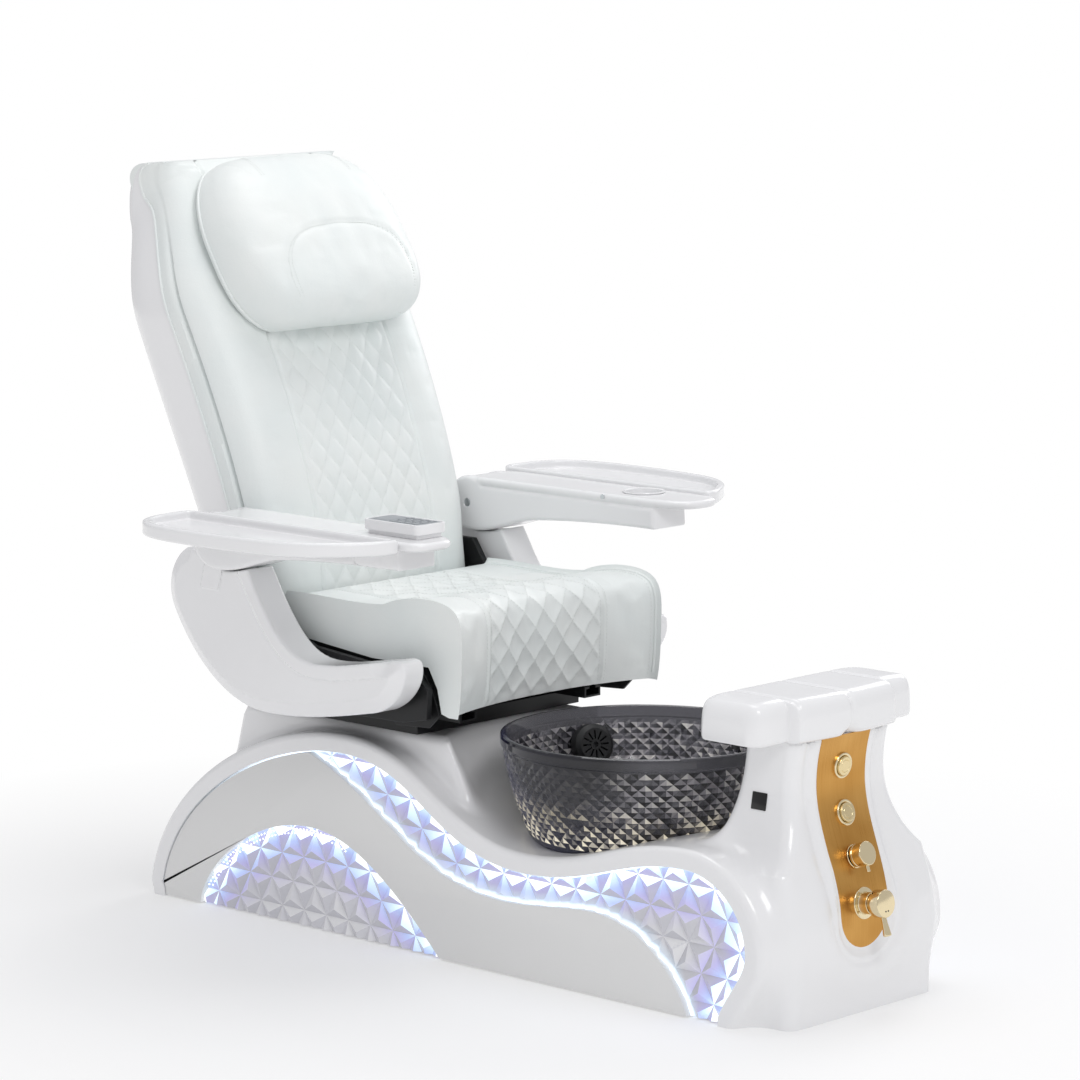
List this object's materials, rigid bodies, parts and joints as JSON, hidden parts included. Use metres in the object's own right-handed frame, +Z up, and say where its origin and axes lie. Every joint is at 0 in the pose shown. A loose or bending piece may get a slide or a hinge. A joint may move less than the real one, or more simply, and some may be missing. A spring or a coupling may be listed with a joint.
{
  "type": "pedicure spa chair",
  "caption": "Reclining massage chair on a white moulded base with a glass foot bowl, a footrest column with tap controls, lift-up arms and swing-out trays.",
  "frame": {"origin": "on the floor, midway along the base's floor edge and midway across it", "axes": "+Z up, -Y towards the footrest (the way the sitter faces), +X to the sitter's left"},
  "size_m": [1.1812, 1.7151, 1.4034],
  "materials": {
    "body_gloss": "gloss",
    "panel_satin": "satin",
    "lit_acrylic": "satin",
    "light": "gloss",
    "leather_white": "matte",
    "smoked_glass": "polished",
    "gold_panel": "brushed",
    "polished_gold": "polished",
    "plumbing_brass": "satin",
    "black_plastic": "matte",
    "black_steel": "satin",
    "steel": "satin",
    "chrome": "polished",
    "rubber": "matte",
    "keypad": "satin"
  },
  "bodies": {
    "base": {"base_shell": "body_gloss", "side_panel_right": "panel_satin", "side_panel_left": "panel_satin", "facet_strip_right": "lit_acrylic", "facet_strip_left": "lit_acrylic", "facet_fan_right": "lit_acrylic", "facet_fan_left": "lit_acrylic", "light_line_right": "light", "light_line_left": "light", "levelling_feet": "rubber", "seat_pedestal": "body_gloss", "footrest_column": "body_gloss", "footrest_pad": "body_gloss", "glass_bowl": "smoked_glass", "bowl_drain": "chrome", "bowl_filler": "chrome", "jet_housing": "black_plastic", "jet_cover": "black_plastic", "jet_motor": "black_plastic", "control_panel": "gold_panel", "panel_bezels": "polished_gold", "valve_body": "plumbing_brass", "rail_plate": "black_steel", "slide_rails": "steel"},
    "impeller": {"jet_impeller": "black_plastic"},
    "upper_button": {"upper_button": "polished_gold"},
    "lower_button": {"lower_button": "polished_gold"},
    "diverter": {"diverter_knob": "polished_gold"},
    "mixer_core": {"mixer_core": "polished_gold"},
    "mixer_handle": {"mixer_handle": "polished_gold"},
    "seat": {"seat_carriage": "black_steel", "seat_pan": "black_plastic", "side_plate_right": "black_plastic", "side_plate_left": "black_plastic", "seat_cushion": "leather_white", "arm_shell_right": "body_gloss", "arm_shell_left": "body_gloss", "arm_pin_right": "steel", "arm_pin_left": "steel", "recline_pins": "steel"},
    "back": {"back_frame": "black_steel", "back_shell": "body_gloss", "back_cushion": "leather_white", "head_pillow": "leather_white"},
    "right_arm": {"armrest_right": "body_gloss", "arm_screw_right": "chrome", "tray_bracket_right": "steel", "remote_body": "body_gloss", "remote_keypad": "keypad"},
    "left_arm": {"armrest_left": "body_gloss", "arm_screw_left": "chrome", "tray_bracket_left": "steel"},
    "right_tray": {"tray_right": "body_gloss"},
    "left_tray": {"tray_left": "body_gloss"}
  },
  "joints": [
    {"name": "seat_slide", "type": "slide", "parent": "base", "child": "seat", "axis": [0, -1, 0], "range_m": [0, 0.1]},
    {"name": "back_recline", "type": "hinge", "parent": "seat", "child": "back", "pos_m": [0, 0.4, 0.56], "axis": [-1, 0, 0], "range_deg": [0, 30]},
    {"name": "right_arm_lift", "type": "hinge", "parent": "seat", "child": "right_arm", "pos_m": [-0.333, 0.41, 0.732], "axis": [-1, 0, 0], "range_deg": [0, 65]},
    {"name": "left_arm_lift", "type": "hinge", "parent": "seat", "child": "left_arm", "pos_m": [0.333, 0.41, 0.732], "axis": [-1, 0, 0], "range_deg": [0, 65]},
    {"name": "right_tray_swing", "type": "hinge", "parent": "right_arm", "child": "right_tray", "pos_m": [-0.432, 0.413, 0.75], "axis": [0, 0, -1], "range_deg": [0, 60]},
    {"name": "left_tray_swing", "type": "hinge", "parent": "left_arm", "child": "left_tray", "pos_m": [0.432, 0.413, 0.75], "axis": [0, 0, 1], "range_deg": [0, 60]},
    {"name": "upper_button_push", "type": "slide", "parent": "base", "child": "upper_button", "axis": [0, 0.9959, 0.0905], "range_m": [0, 0.003], "stiffness_N_per_m": 400},
    {"name": "lower_button_push", "type": "slide", "parent": "base", "child": "lower_button", "axis": [0, 0.9658, -0.2594], "range_m": [0, 0.003], "stiffness_N_per_m": 400},
    {"name": "diverter_turn", "type": "hinge", "parent": "base", "child": "diverter", "pos_m": [0, -0.79659, 0.27132], "axis": [0, -0.9433, 0.3319], "range_deg": [-90, 90]},
    {"name": "mixer_turn", "type": "hinge", "parent": "base", "child": "mixer_core", "pos_m": [0, -0.81814, 0.19134], "axis": [0, -0.9909, 0.1345], "range_deg": [-45, 45]},
    {"name": "mixer_lift", "type": "hinge", "parent": "mixer_core", "child": "mixer_handle", "pos_m": [0, -0.84589, 0.19511], "axis": [-1, 0, 0], "range_deg": [0, 15]},
    {"name": "impeller_spin", "type": "hinge", "parent": "base", "child": "impeller", "pos_m": [0.07889, -0.11075, 0.35868], "axis": [-0.3661, -0.906, 0.2125], "continuous": true}
  ]
}
